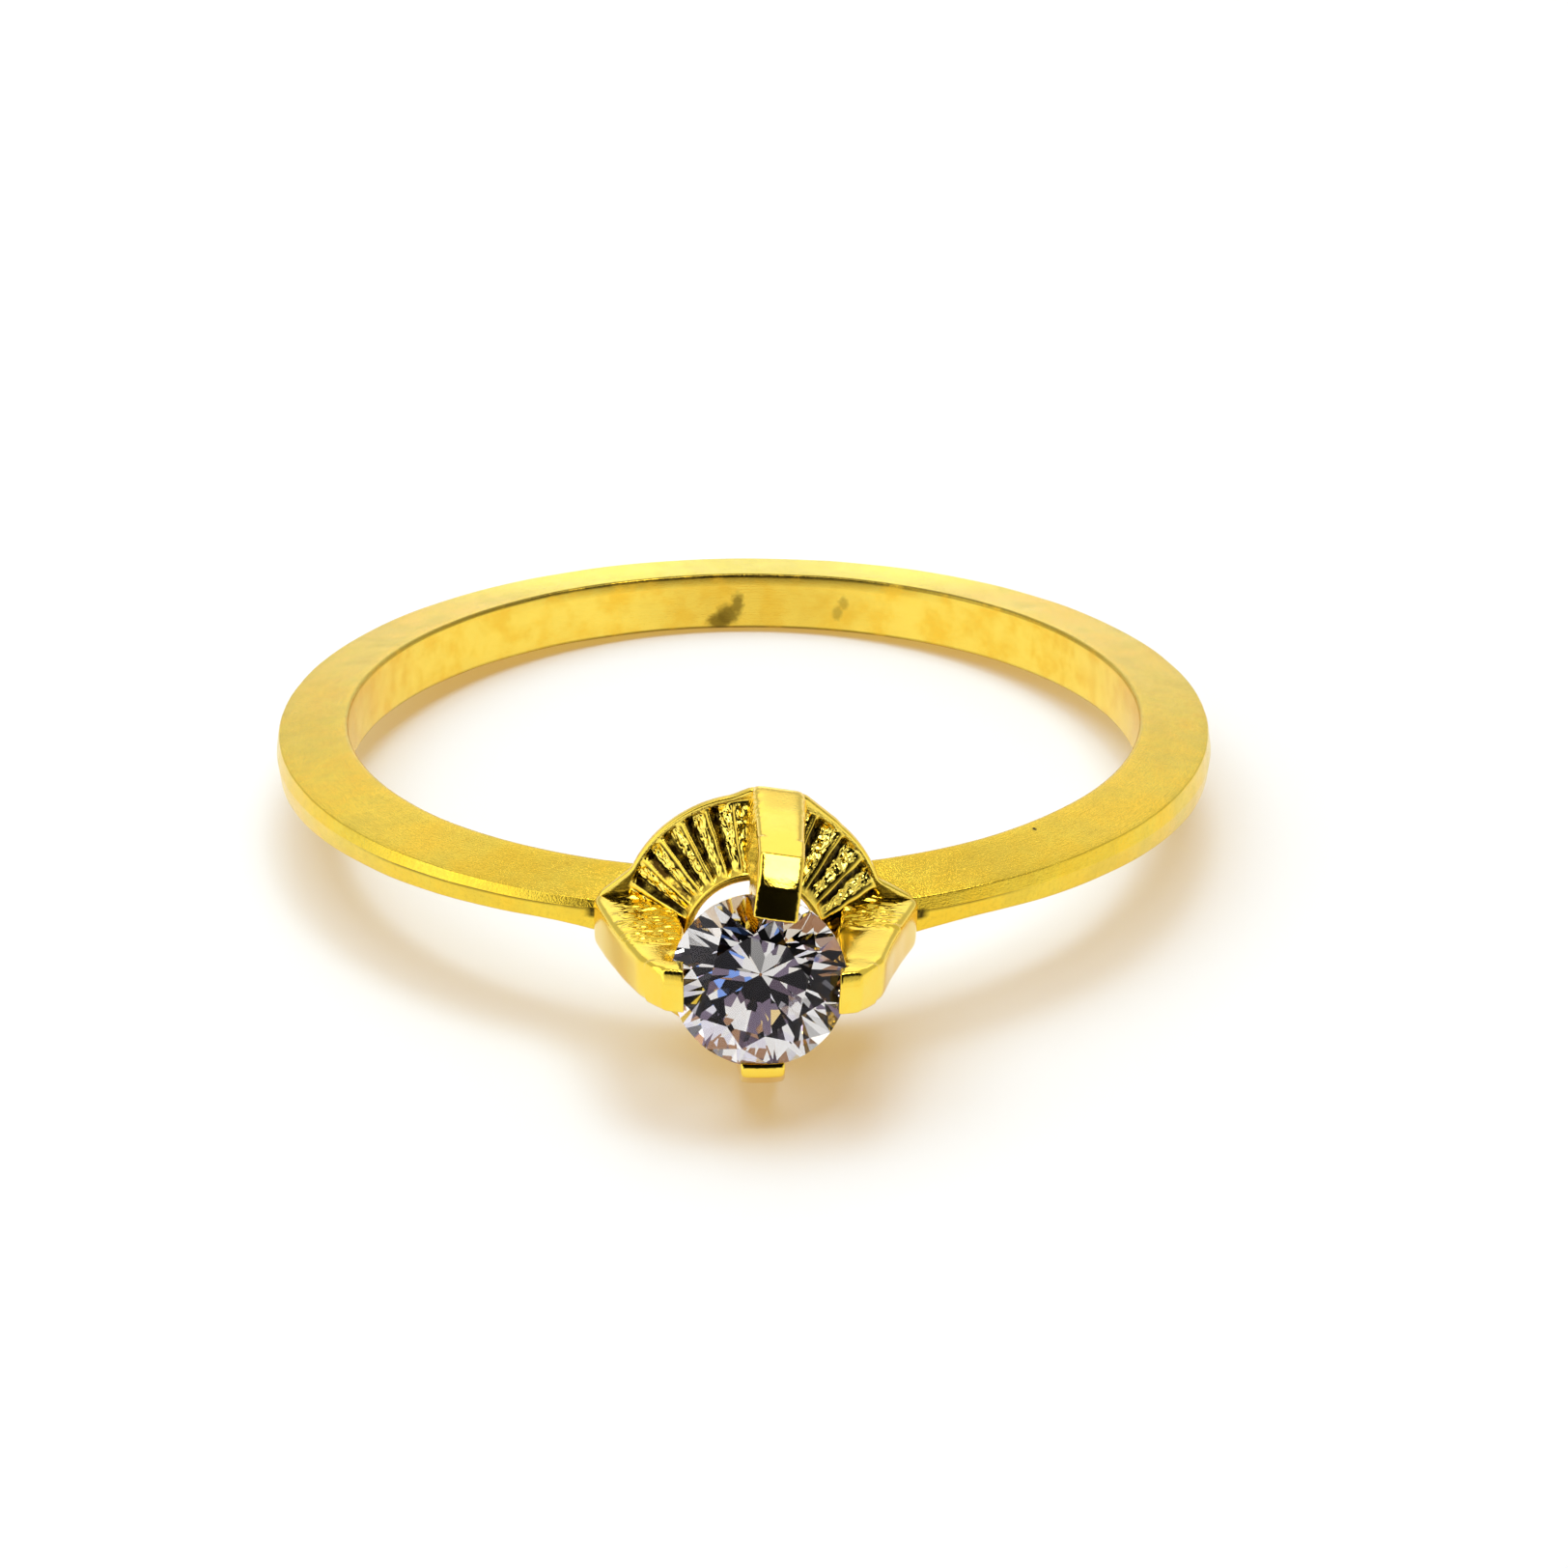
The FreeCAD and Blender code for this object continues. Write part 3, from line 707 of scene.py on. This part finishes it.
def shank_rows():
    """Rows of points along the shank, with the slight unevenness of hand filing, and their painted dark
    lines.
    """
    roundings = (RIDGE_ROUND, FACE_ROUND, FINGER_ROUND, FINGER_ROUND, FACE_ROUND)
    rows = []
    lines = []
    steps = round((360 - 2 * SHANK_OPENING) / SHANK_STEP)
    for step in range(steps + 1):
        degrees = SHANK_OPENING + step * SHANK_STEP
        turn = math.radians(degrees)
        row = []
        for radius, z in rounded_outline(shank_corners(degrees), roundings):
            at = Vector((radius * math.sin(turn), -radius * math.cos(turn), z))
            away = HAND_WAVE * noise.noise(at * HAND_WAVES)
            away += HAND_WAVE / 3 * noise.noise(at * HAND_RIPPLES)
            across = HAND_WAVE * noise.noise(at * HAND_WAVES_ACROSS + Vector(HAND_OFFSET))
            radius += away if radius > FINGER_RADIUS + FILED_FROM else away / 3
            row.append((radius * math.sin(turn), -radius * math.cos(turn), z + across))
        rows.append(row)
        lines += painted_line_darkness(degrees)
    return rows, lines


shank_points, shank_painted_darkness = shank_rows()
shank = swept("shank_band", shank_points, band_gold)
# Painted dark lines of shade and dark reflection, for the band's material to read.
mark(shank, "painted_dark_line", shank_painted_darkness)


# ---------------------------------------------------------------- crown
def lobe_reach(direction):
    """How far the rim reaches from the crown's centre in a direction (x, z), lobes included."""
    reach = RIM_RADIUS
    centre = Vector((-CROWN_SHIFT, 0))
    for angle, foot_radius, half_width in CLAW_FEET.values():
        a = math.radians(angle)
        out = Vector((math.sin(a), math.cos(a)))
        side = Vector((math.cos(a), -math.sin(a)))
        if direction.dot(out) < LOBE_FACING:
            continue
        root = math.sqrt(RIM_RADIUS ** 2 - half_width ** 2) - RIM_ROUND
        foot = (foot_radius - LOBE_INSET, CLAW_WIDTH_ROOT / 2)
        corners = [(0, half_width), (root, half_width), foot]
        corners += [(along, -across) for along, across in reversed(corners)]
        points = [out * along + side * across - centre for along, across in corners]
        distances = []
        for index, start in enumerate(points):
            edge = points[(index + 1) % len(points)] - start
            normal = Vector((edge.y, -edge.x))
            if normal.dot(start + edge / 2 - out) < 0:
                normal = -normal
            facing = normal.dot(direction)
            if facing > 1e-6:
                distances.append(normal.dot(start) / facing)
        reach = max(reach, min(distances, default=reach))
    return reach


def bed_height(radius):
    """Height of the cone the flutes are cut into."""
    slope = (LIP_TOP - LIP_ROUND - RIM_TOP) / (LIP_RADIUS - BED_RADIUS)
    return RIM_TOP + slope * (radius - BED_RADIUS)


def flute_place(degrees):
    """Place across a flute, -1 to 1, or None on the plain metal between the panels."""
    for first, last, flutes in FLUTE_PANELS:
        if first <= degrees < last:
            pitch = (last - first) / flutes
            centre = first + (math.floor((degrees - first) / pitch) + 0.5) * pitch
            return (degrees - centre) / (pitch / 2)
    return None


def flute_depth(radius):
    """Depth of a flute along its length: shallow at the lip, deepest near the rim, scooped end."""
    share = (radius - LIP_RADIUS) / (BED_RADIUS - LIP_RADIUS)
    depth = FLUTE_DEPTH_LIP + (FLUTE_DEPTH_RIM - FLUTE_DEPTH_LIP) * share
    start = eased(LIP_RADIUS, LIP_RADIUS + LIP_ROUND, radius)
    end = 1 - eased(BED_RADIUS - FLUTE_RUNOUT, BED_RADIUS, radius)
    return depth * start * end


def flute_section(across):
    """Share of the full depth at a place across a flute: steep wall, climbing shelf, far wall."""
    if across < FLUTE_LOW:
        share = (across + FLUTE_FILL) / (FLUTE_LOW + FLUTE_FILL)
    elif across < FLUTE_SHELF:
        share = 1 - (1 - SHELF_END) * (across - FLUTE_LOW) / (FLUTE_SHELF - FLUTE_LOW)
    else:
        share = SHELF_END * (FLUTE_FILL - across) / (FLUTE_FILL - FLUTE_SHELF)
    return min(1, max(0, share))


def torn_strip(radius):
    """Places across a flute between which its metal is torn; the strip widens outwards."""
    share = (radius - LIP_RADIUS) / (BED_RADIUS - LIP_RADIUS)
    return [at_lip + change * share for at_lip, change in (TORN_NEAR, TORN_FAR)]


def crown_bed(radius, degrees):
    """Rosette's face at a radius and an angle: its height, how far it is smooth wall with painted shade,
    how far torn.
    """
    across = flute_place(degrees % 360)
    turn = math.radians(degrees)
    at = Vector((radius * math.sin(turn), radius * math.cos(turn), 0))
    by_angle, by_radius, fixed = STREAK_SCALE
    streak = noise.noise(Vector((degrees * by_angle, radius * by_radius, fixed)))
    tear = noise.noise(at * TEAR_COARSE) + TEAR_FINE_SHARE * noise.noise(at * TEAR_FINE)
    torn_from, torn_full = [LIP_RADIUS + distance for distance in TORN_START]
    stop_from, stop_full = [BED_RADIUS - distance for distance in ROUGH_STOP]
    started = eased(LIP_RADIUS, torn_from, radius)
    inside = started * (1 - eased(stop_from, stop_full, radius))
    height = bed_height(radius)
    if across is None:
        rough = STREAK_PLAIN * streak + TEAR_PLAIN * TEAR * tear
        return height + inside * rough, 0, TORN_PLAIN * started

    by_flute, by_radius, fixed = WANDER_SCALE
    group = math.floor(degrees / WANDER_ANGLE)
    across += WANDER * noise.noise(Vector((group * by_flute, radius * by_radius, fixed)))
    depth = flute_section(across)
    across += sum(reach * noise.noise(at * scale) for reach, scale in RAGGED)
    near, far = torn_strip(radius)
    torn = started * eased(near, near + TORN_FADE, across) * (1 - eased(far, far + TORN_FADE, across))
    # Painted shade on the smooth wall grows with the flute's depth.
    shaded_wall = inside * min(1, WALL_SHARE * depth) * (1 - torn)
    torn *= 0.5 + 0.5 * eased(torn_from, torn_full, radius)
    height += inside * (torn * TEAR * tear + STREAK * streak) - flute_depth(radius) * depth
    return height, shaded_wall, torn


def quarter_turn(first, last):
    """Angles in radians of the points from first to last round a quarter turn."""
    return [math.radians(90 * step / ROUND_STEPS) for step in range(first, last + 1)]


def crown_column(degrees, reach):
    """One closed radial outline of the crown (hole, lip, fluted face, rim, underside), and its marks."""
    hole = LIGHT_HOLE_RADIUS
    bottom = COLLET_TOP - CROWN_SINK
    lip_base = LIP_TOP - LIP_ROUND
    column = [(hole, height) for height in (bottom, *HOLE_HEIGHTS, lip_base)]
    for a in quarter_turn(1, 3):
        column.append((hole + LIP_ROUND * (1 - math.cos(a)), LIP_TOP - LIP_ROUND * (1 - math.sin(a))))
    column.append(((hole + LIP_RADIUS) / 2, LIP_TOP))
    for a in quarter_turn(0, 2):
        outwards = LIP_RADIUS - LIP_ROUND * (1 - math.sin(a))
        column.append((outwards, LIP_TOP - LIP_ROUND * (1 - math.cos(a))))

    marks = [(0, 0)] * len(column)
    for step in range(BED_ROWS + 1):
        radius = LIP_RADIUS + (BED_RADIUS - LIP_RADIUS) * step / BED_ROWS
        height, shaded_wall, torn = crown_bed(radius, degrees)
        column.append((radius, height))
        marks.append((shaded_wall, torn))
    edge = reach - RIM_ROUND
    for step in range(1, SHORT_ROWS + 1):
        radius = BED_RADIUS + (edge - BED_RADIUS) * step / SHORT_ROWS
        column.append((radius, RIM_TOP - LOBE_SLOPE * max(0, radius - RIM_RADIUS)))
        marks.append((0, TORN_BORDER))

    rim_top = RIM_TOP - LOBE_SLOPE * max(0, edge - RIM_RADIUS)
    for a in quarter_turn(1, 3):
        column.append((edge + RIM_ROUND * math.sin(a), rim_top - RIM_ROUND * (1 - math.cos(a))))
    for a in quarter_turn(0, 3):
        column.append((edge + RIM_ROUND * math.cos(a), RIM_BOTTOM + RIM_ROUND * (1 - math.sin(a))))
    foot = COLLET_RADIUS - CROWN_SHIFT
    for step in range(1, SHORT_ROWS + 1):
        share = step / SHORT_ROWS
        column.append((edge + (foot - edge) * share, RIM_BOTTOM + (bottom - RIM_BOTTOM) * share))
    marks += [(0, 0)] * (len(column) - len(marks))
    return column, marks


def crown_rows():
    """Columns of the crown all the way round, and the marks of every point in them."""
    count = round(360 / CROWN_STEP)
    angles = [column * CROWN_STEP for column in range(count)]
    reaches = []
    for degrees in angles:
        turn = math.radians(degrees)
        reaches.append(lobe_reach(Vector((math.sin(turn), math.cos(turn)))))
    rows = []
    marks = []
    for index, degrees in enumerate(angles):
        offsets = range(-LOBE_SOFTENING, LOBE_SOFTENING + 1)
        near = [reaches[(index + offset) % count] for offset in offsets]
        column, column_marks = crown_column(degrees, sum(near) / len(near))
        turn = math.radians(degrees)
        row = []
        for radius, height in column:
            row.append((radius * math.sin(turn) - CROWN_SHIFT, -height, radius * math.cos(turn)))
        rows.append(row)
        marks += column_marks
    return rows, marks


crown_points, crown_marks = crown_rows()
crown = swept("crown_rosette", crown_points, crown_gold, closed_along=True)
# Painted near-black shade of the smooth flute walls, which also sets their polish.
mark(crown, "flute_wall_shade", [shaded_wall for shaded_wall, torn in crown_marks])
mark(crown, "torn", [torn for shaded_wall, torn in crown_marks])


# ---------------------------------------------------------------- collet, claws and stone
def whole_faced_copy(cad_node, name, material, smooth):
    """Copy of a CAD node with its triangles joined into whole faces."""
    work = welded(cad_node)
    angle = math.radians(WHOLE_FACE)
    bmesh.ops.dissolve_limit(work, angle_limit=angle, verts=work.verts, edges=work.edges)
    mesh = finished_mesh(work, name)
    shade(mesh, smooth)
    return new_object(name, mesh, material)


def ease_edges(piece, width):
    """Round the sharp edges of a piece."""
    bevel = piece.modifiers.new("ease", "BEVEL")
    bevel.width = width * MM
    bevel.segments = EASE_STEPS
    bevel.limit_method = "ANGLE"
    bevel.angle_limit = math.radians(EASE_ANGLE)
    bevel.harden_normals = True
    weighted = piece.modifiers.new("normals", "WEIGHTED_NORMAL")
    weighted.keep_sharp = True
    piece.data = applied(piece)


def softened_mesh(piece, soft_below):
    """A claw's mesh in small even faces with rounded edges, rounder still below a height."""
    remesh = piece.modifiers.new("grain", "REMESH")
    remesh.mode = "VOXEL"
    remesh.voxel_size = CLAW_GRAIN
    soften = piece.modifiers.new("soften", "SMOOTH")
    soften.factor = SOFTENING
    soften.iterations = CLAW_SOFTENING
    mesh = applied(piece)
    work = bmesh.new()
    work.from_mesh(mesh)
    foot = [vertex for vertex in work.verts if -vertex.co.y < soft_below]
    every_axis = {"use_axis_x": True, "use_axis_y": True, "use_axis_z": True}
    for _ in range(FOOT_SOFTENING):
        bmesh.ops.smooth_vert(work, verts=foot, factor=SOFTENING, **every_axis)
    work.to_mesh(mesh)
    work.free()
    return mesh


def flakes_at(along, height, across):
    """Torn skin of a casting at a place on a claw's flank, roughly -1 to 1."""
    by_along, by_height, by_across = FLAKE_LARGE
    large = noise.noise(Vector((along * by_along, height * by_height, across * by_across)))
    by_along, by_height = FLAKE_SMALL
    small = noise.noise(Vector((along * by_along, height * by_height, FLAKE_SMALL_AT)))
    return large + FLAKE_SMALL_SHARE * small


def cast_claw(cad_node, angle, torn_top, soft_below, roll, lean):
    """Claw as cast and filed: softened edges, domed tip, and torn metal low on its flanks."""
    name = cad_node + "_bar"
    work = welded(cad_node)
    bmesh.ops.scale(work, vec=(1 / MM, 1 / MM, 1 / MM), verts=work.verts)
    piece = new_object(name, finished_mesh(work, name), claw_gold)
    mesh = softened_mesh(piece, soft_below)

    a = math.radians(angle)
    out = Vector((math.sin(a), 0, math.cos(a)))
    side = Vector((math.cos(a), 0, -math.sin(a)))
    reach = max(-vertex.co.y for vertex in mesh.vertices)
    face = [vertex.co.z for vertex in mesh.vertices if -vertex.co.y > reach - TIP_FACE]
    min_z = min(face)
    max_z = max(face)
    marks = []
    for vertex in mesh.vertices:
        at = vertex.co
        height = -at.y
        across = at.dot(side)
        along = at.dot(out)
        tip = eased(TIP_FROM, TIP_FULL, height)
        level = min(1, max(0, (at.z - min_z) / (max_z - min_z)))
        fall = tip * (TIP_DOME * (across / TIP_HALF) ** 2 + lean * (level - 0.5))
        fall += tip * roll * max(0, (level - ROLL_FROM) / (1 - ROLL_FROM)) ** 2
        on_flank = eased(*FLANK, abs(across))
        low_down = 1 - eased(torn_top - FLANK_FADE, torn_top, height)
        inner = 1 - eased(*FLANK_OUT, along)
        torn = on_flank * low_down * inner
        marks.append(torn)
        push = FLAKE * flakes_at(along, height, across) * torn
        push += CLAW_WAVE * noise.noise(at * CLAW_WAVES)
        place = at + side * math.copysign(push, across)
        vertex.co = Vector((place.x, place.y + fall, place.z)) * MM
    shade(mesh, True)
    mesh.name = name
    piece.data = mesh
    mark(piece, "torn", marks)
    return piece


collet = whole_faced_copy("head_collet", "collet_tube", collet_gold, True)
ease_edges(collet, COLLET_EASE)

claws = {}
for claw_name, skin in CLAW_SKIN.items():
    claws[claw_name] = cast_claw(claw_name, CLAW_FEET[claw_name][0], *skin)

stone = whole_faced_copy("stone", "brilliant", stone_clear, False)
low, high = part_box("stone")
middle = (low + high) / 2
smaller = Matrix.Scale(STONE_SCALE, 4)
stone.data.transform(Matrix.Translation(middle) @ smaller @ Matrix.Translation(-middle))

for piece, cad_node, slot in (
    (shank, "shank", "shank_gold"),
    (crown, "fluted_crown", "head_gold"),
    (collet, "head_collet", "head_gold"),
    (claws["claw_top"], "claw_top", "claw_gold"),
    (claws["claw_right"], "claw_right", "claw_gold"),
    (claws["claw_bottom"], "claw_bottom", "claw_gold"),
    (claws["claw_left"], "claw_left", "claw_gold"),
    (stone, "stone", "stone"),
):
    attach(piece, "root")
    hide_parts(cad_node)


# ---------------------------------------------------------------- floor
def floor_material():
    """Plain pale paper: near-white where it is lit, with a warm shadow under the ring."""
    material, tree = new_material("pale_paper")
    path = node(tree, "ShaderNodeLightPath")
    shown = math_node(tree, "MAXIMUM", path.outputs["Is Camera Ray"], path.outputs["Is Glossy Ray"])
    shown = math_node(tree, "MAXIMUM", shown, path.outputs["Is Transmission Ray"])
    lit = node(tree, "ShaderNodeBsdfDiffuse", {"Color": PAPER})
    glow = node(tree, "ShaderNodeEmission", {"Color": PAPER_GLOW, "Strength": 1.0})
    near = node(tree, "ShaderNodeAddShader", {0: lit.outputs[0], 1: glow.outputs[0]})
    bright = node(tree, "ShaderNodeEmission", {"Color": PAPER_FAR, "Strength": 1.0})
    away = length(tree, node(tree, "ShaderNodeTexCoord").outputs["Object"])
    fade_from, fade_to = PAPER_FADE
    far = graded(tree, away, fade_from * MM, fade_to * MM)
    seen = node(tree, "ShaderNodeMixShader", {0: far, 1: near.outputs[0], 2: bright.outputs[0]})
    plain = node(tree, "ShaderNodeBsdfDiffuse", {"Color": PAPER_PLAIN})
    surface = node(tree, "ShaderNodeMixShader", {0: shown, 1: plain.outputs[0], 2: seen.outputs[0]})
    material_output(tree, surface)
    return material


def sheet(name, half, matrix, material):
    """Flat square sheet placed by a matrix, its half size in millimetres."""
    mesh = bpy.data.meshes.new(name)
    corners = [(-half, -half, 0), (half, -half, 0), (half, half, 0), (-half, half, 0)]
    mesh.from_pydata([[c * MM for c in corner] for corner in corners], [], [(0, 1, 2, 3)])
    piece = new_object(name, mesh, material)
    piece.matrix_world = matrix


rest_point = Vector((0, REST_BACK, REST_HEIGHT)) * MM
floor_matrix = Matrix.Translation(rest_point) @ Matrix.Rotation(math.radians(REST_TILT), 4, "X")
sheet("floor", FLOOR_HALF, floor_matrix, floor_material())


# ---------------------------------------------------------------- camera
camera_data = bpy.data.cameras.new("camera")
camera_data.lens = LENS
camera_data.sensor_width = SENSOR
camera_data.clip_start = NEAR_CLIP * MM
camera_data.clip_end = FAR_CLIP * MM
camera = bpy.data.objects.new("camera", camera_data)
bpy.context.scene.collection.objects.link(camera)
back = -VIEW_ALONG.normalized()
right = VIEW_UP.cross(back).normalized()
up = back.cross(right)
turned = Matrix((right, up, back)).transposed().to_4x4()
camera.matrix_world = Matrix.Translation(VIEW_FROM * MM) @ turned
bpy.context.scene.camera = camera


# ---------------------------------------------------------------- light
def area_light(name, place, size, watts, mirrored):
    """Soft square lamp at a place, aimed at the middle of the ring; mirrored says if it shows in it."""
    data = bpy.data.lights.new(name, "AREA")
    data.shape = "SQUARE"
    data.size = size * MM
    data.energy = watts
    lamp = bpy.data.objects.new(name, data)
    bpy.context.scene.collection.objects.link(lamp)
    lamp.location = Vector(place) * MM
    to_ring = Vector((0, 0, 0)) - Vector(place)
    lamp.rotation_euler = to_ring.to_track_quat("-Z", "Y").to_euler()
    lamp.visible_glossy = mirrored
    lamp.visible_transmission = mirrored


def tent_patch(tree, compass, rise, *extents):
    """1 within a patch of the tent, 0 outside; extents are those of its compass angle and its rise."""
    shares = []
    for value, (middle, half, soft) in zip((compass, rise), extents):
        off = math_node(tree, "ABSOLUTE", math_node(tree, "SUBTRACT", value, middle))
        shares.append(graded(tree, off, half + soft, half))
    return product(tree, *shares)


def world_light():
    """White tent round the ring, with lit panels and a dark opening where the viewer stands. The
    camera itself sees plain white."""
    world = bpy.data.worlds.new("surroundings")
    world.use_nodes = True
    tree = world.node_tree
    tree.nodes.clear()
    x, y, z = split(tree, node(tree, "ShaderNodeTexCoord").outputs["Generated"])
    behind = math_node(tree, "DEGREES", math_node(tree, "ARCTAN2", x, y))
    toward = math_node(tree, "DEGREES", math_node(tree, "ARCTAN2", x, product(tree, y, -1.0)))
    compass = {"behind": behind, "toward": toward}
    rise = math_node(tree, "DEGREES", math_node(tree, "ARCSINE", z))

    level = graded(tree, rise, *TENT_FADE, TENT_LEVEL, TENT_FOOT)
    for side, wide, high, brightness in PANELS:
        panel = tent_patch(tree, compass[side], rise, wide, high)
        level = math_node(tree, "MULTIPLY_ADD", panel, brightness - TENT_LEVEL, level)
    upper = tent_patch(tree, toward, rise, *OPENING_UPPER)
    lower = tent_patch(tree, toward, rise, *OPENING_LOWER)
    opening = math_node(tree, "MAXIMUM", upper, lower)
    level = product(tree, level, math_node(tree, "SUBTRACT", 1.0, opening))
    for side, wide, high, brightness in GLOWS:
        glow = tent_patch(tree, compass[side], rise, wide, high)
        level = math_node(tree, "MULTIPLY_ADD", glow, brightness, level)
    level = math_node(tree, "ADD", level, DARK_LEVEL)

    seen = node(tree, "ShaderNodeBackground", {"Color": SEEN_WHITE, "Strength": 1.0})
    around = node(tree, "ShaderNodeBackground", {"Color": TENT_WHITE, "Strength": level})
    by_camera = node(tree, "ShaderNodeLightPath").outputs["Is Camera Ray"]
    chosen = node(tree, "ShaderNodeMixShader", {
        0: by_camera, 1: around.outputs[0], 2: seen.outputs[0],
    })
    node(tree, "ShaderNodeOutputWorld", {"Surface": chosen.outputs[0]})
    bpy.context.scene.world = world


world_light()
for lamp_settings in LAMPS:
    area_light(*lamp_settings)

bpy.context.scene.view_settings.view_transform = "Standard"
